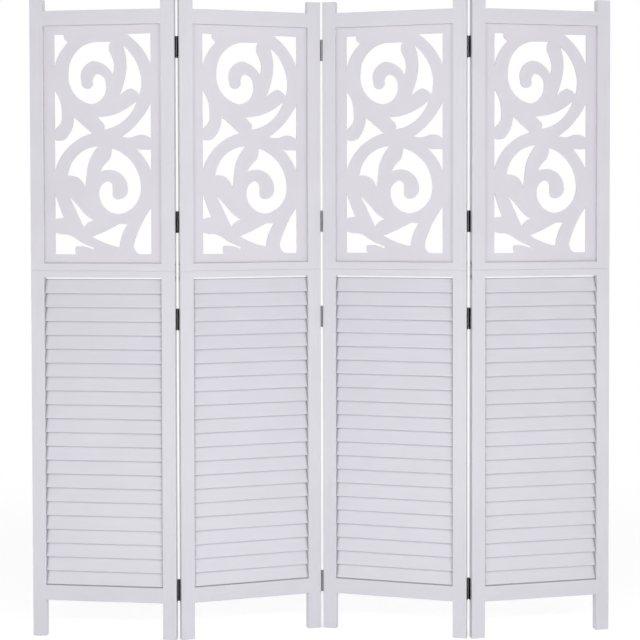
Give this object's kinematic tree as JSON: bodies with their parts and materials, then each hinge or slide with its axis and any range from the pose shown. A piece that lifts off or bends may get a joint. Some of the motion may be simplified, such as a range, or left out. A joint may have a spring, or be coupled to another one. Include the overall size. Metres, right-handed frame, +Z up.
{
  "type": "folding screen",
  "caption": "Free-standing folding screen: hinged white-painted wood panels, each with open scroll fretwork above and fixed louvre slats below, standing in a zig-zag.",
  "frame": {"origin": "on the floor, below the middle of the bounding box of the screen as it stands in the picture", "axes": "+Z up, the side seen in the picture faces -Y, +X to the right of that view"},
  "size_m": [1.5533, 0.1342, 1.7],
  "materials": {
    "white_painted_wood": "satin white paint",
    "blackened_steel": "satin black",
    "blackened_screw_steel": "satin black",
    "zinc_plated_steel": "bright zinc",
    "bare_beech": "bare"
  },
  "bodies": {
    "panel_1": {"panel_1_upper_left_stile": "white_painted_wood", "panel_1_upper_right_stile": "white_painted_wood", "panel_1_lower_left_stile": "white_painted_wood", "panel_1_lower_right_stile": "white_painted_wood", "panel_1_top_rail": "white_painted_wood", "panel_1_fret_lower_rail": "white_painted_wood", "panel_1_louvre_top_rail": "white_painted_wood", "panel_1_bottom_rail": "white_painted_wood", "panel_1_fret_board": "white_painted_wood", "panel_1_louvre_slats": "white_painted_wood", "panel_1_joining_plates": "zinc_plated_steel", "panel_1_dowels": "bare_beech", "panel_1_hinge_leaves": "blackened_steel", "panel_1_screws": "blackened_screw_steel", "hinge_pins_1_2": "blackened_steel"},
    "panel_2": {"panel_2_upper_left_stile": "white_painted_wood", "panel_2_upper_right_stile": "white_painted_wood", "panel_2_lower_left_stile": "white_painted_wood", "panel_2_lower_right_stile": "white_painted_wood", "panel_2_top_rail": "white_painted_wood", "panel_2_fret_lower_rail": "white_painted_wood", "panel_2_louvre_top_rail": "white_painted_wood", "panel_2_bottom_rail": "white_painted_wood", "panel_2_fret_board": "white_painted_wood", "panel_2_louvre_slats": "white_painted_wood", "panel_2_joining_plates": "zinc_plated_steel", "panel_2_dowels": "bare_beech", "panel_2_hinge_leaves": "blackened_steel", "panel_2_screws": "blackened_screw_steel", "hinge_pins_2_3": "blackened_steel"},
    "panel_3": {"panel_3_upper_left_stile": "white_painted_wood", "panel_3_upper_right_stile": "white_painted_wood", "panel_3_lower_left_stile": "white_painted_wood", "panel_3_lower_right_stile": "white_painted_wood", "panel_3_top_rail": "white_painted_wood", "panel_3_fret_lower_rail": "white_painted_wood", "panel_3_louvre_top_rail": "white_painted_wood", "panel_3_bottom_rail": "white_painted_wood", "panel_3_fret_board": "white_painted_wood", "panel_3_louvre_slats": "white_painted_wood", "panel_3_joining_plates": "zinc_plated_steel", "panel_3_dowels": "bare_beech", "panel_3_hinge_leaves": "blackened_steel", "panel_3_screws": "blackened_screw_steel", "hinge_pins_3_4": "blackened_steel"},
    "panel_4": {"panel_4_upper_left_stile": "white_painted_wood", "panel_4_upper_right_stile": "white_painted_wood", "panel_4_lower_left_stile": "white_painted_wood", "panel_4_lower_right_stile": "white_painted_wood", "panel_4_top_rail": "white_painted_wood", "panel_4_fret_lower_rail": "white_painted_wood", "panel_4_louvre_top_rail": "white_painted_wood", "panel_4_bottom_rail": "white_painted_wood", "panel_4_fret_board": "white_painted_wood", "panel_4_louvre_slats": "white_painted_wood", "panel_4_joining_plates": "zinc_plated_steel", "panel_4_dowels": "bare_beech", "panel_4_hinge_leaves": "blackened_steel", "panel_4_screws": "blackened_screw_steel"}
  },
  "joints": [
    {"name": "fold_1_2", "type": "hinge", "parent": "panel_2", "child": "panel_1", "pos_m": [-0.38433, -0.04348, 0.85], "axis": [0, 0, -1], "range_deg": [-23.8, 156.2]},
    {"name": "fold_2_3", "type": "hinge", "parent": "panel_2", "child": "panel_3", "pos_m": [0.00105, 0.04447, 0.85], "axis": [0, 0, -1], "range_deg": [-32.3, 147.7]},
    {"name": "fold_3_4", "type": "hinge", "parent": "panel_3", "child": "panel_4", "pos_m": [0.38805, -0.03607, 0.85], "axis": [0, 0, 1], "range_deg": [-27.8, 152.2]}
  ]
}
